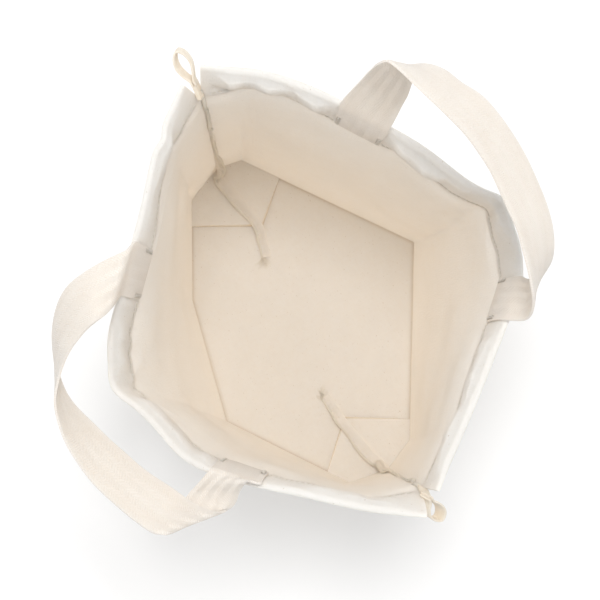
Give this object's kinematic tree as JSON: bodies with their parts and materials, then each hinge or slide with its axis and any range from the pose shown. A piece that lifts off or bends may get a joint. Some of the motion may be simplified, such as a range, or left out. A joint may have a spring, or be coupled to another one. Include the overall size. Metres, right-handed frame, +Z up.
{
  "type": "tote bag",
  "caption": "Open natural canvas tote bag with a turned-in hem, tucked flat base, webbing carry handles sewn inside the rim and tape hanging loops at the side seams.",
  "frame": {"origin": "middle of the floor's underside, between the feet of the two side seams", "axes": "+X towards the right side seam, +Y towards the back wall, +Z up out of the mouth"},
  "size_m": [0.3368, 0.3217, 0.4218],
  "materials": {
    "canvas": "undyed plain-weave cotton canvas, matt",
    "webbing": "undyed herringbone cotton webbing, matt",
    "thread": "cotton sewing thread, slight sheen",
    "tape": "narrow woven cotton tape, matt"
  },
  "bodies": {
    "bag": {"front_panel": "canvas", "back_panel": "canvas", "base_panel": "canvas", "front_hem": "canvas", "back_hem": "canvas", "front_hem_stitch": "thread", "back_hem_stitch": "thread", "left_corner_tuck": "canvas", "right_corner_tuck": "canvas", "left_side_seam": "canvas", "right_side_seam": "canvas", "front_handle_tab_left": "webbing", "front_handle_tab_right": "webbing", "back_handle_tab_left": "webbing", "back_handle_tab_right": "webbing", "front_bartack_left_outer": "thread", "front_bartack_left_inner": "thread", "front_bartack_right_outer": "thread", "front_bartack_right_inner": "thread", "back_bartack_left_outer": "thread", "back_bartack_left_inner": "thread", "back_bartack_right_outer": "thread", "back_bartack_right_inner": "thread"},
    "front_arch": {"front_handle": "webbing"},
    "back_arch": {"back_handle": "webbing"},
    "left_loop": {"left_hang_loop": "tape"},
    "right_loop": {"right_hang_loop": "tape"}
  },
  "joints": [
    {"name": "front_handle_swing", "type": "hinge", "parent": "bag", "child": "front_arch", "pos_m": [0.011, -0.092, 0.326], "axis": [-0.9993, 0.035, 0.0145], "range_deg": [-25, 140], "deforming": ["front_handle_tab_left", "front_handle_tab_right"]},
    {"name": "back_handle_swing", "type": "hinge", "parent": "bag", "child": "back_arch", "pos_m": [0.0003, 0.099, 0.3255], "axis": [0.9857, 0.1675, -0.016], "range_deg": [-95, 50], "deforming": ["back_handle_tab_left", "back_handle_tab_right"]},
    {"name": "left_loop_swing", "type": "hinge", "parent": "bag", "child": "left_loop", "pos_m": [-0.1425, 0.0032, 0.324], "axis": [0, 0, 1], "range_deg": [-20, 50]},
    {"name": "right_loop_swing", "type": "hinge", "parent": "bag", "child": "right_loop", "pos_m": [0.1505, 0.0026, 0.324], "axis": [0, 0, 1], "range_deg": [-15, 50]}
  ]
}
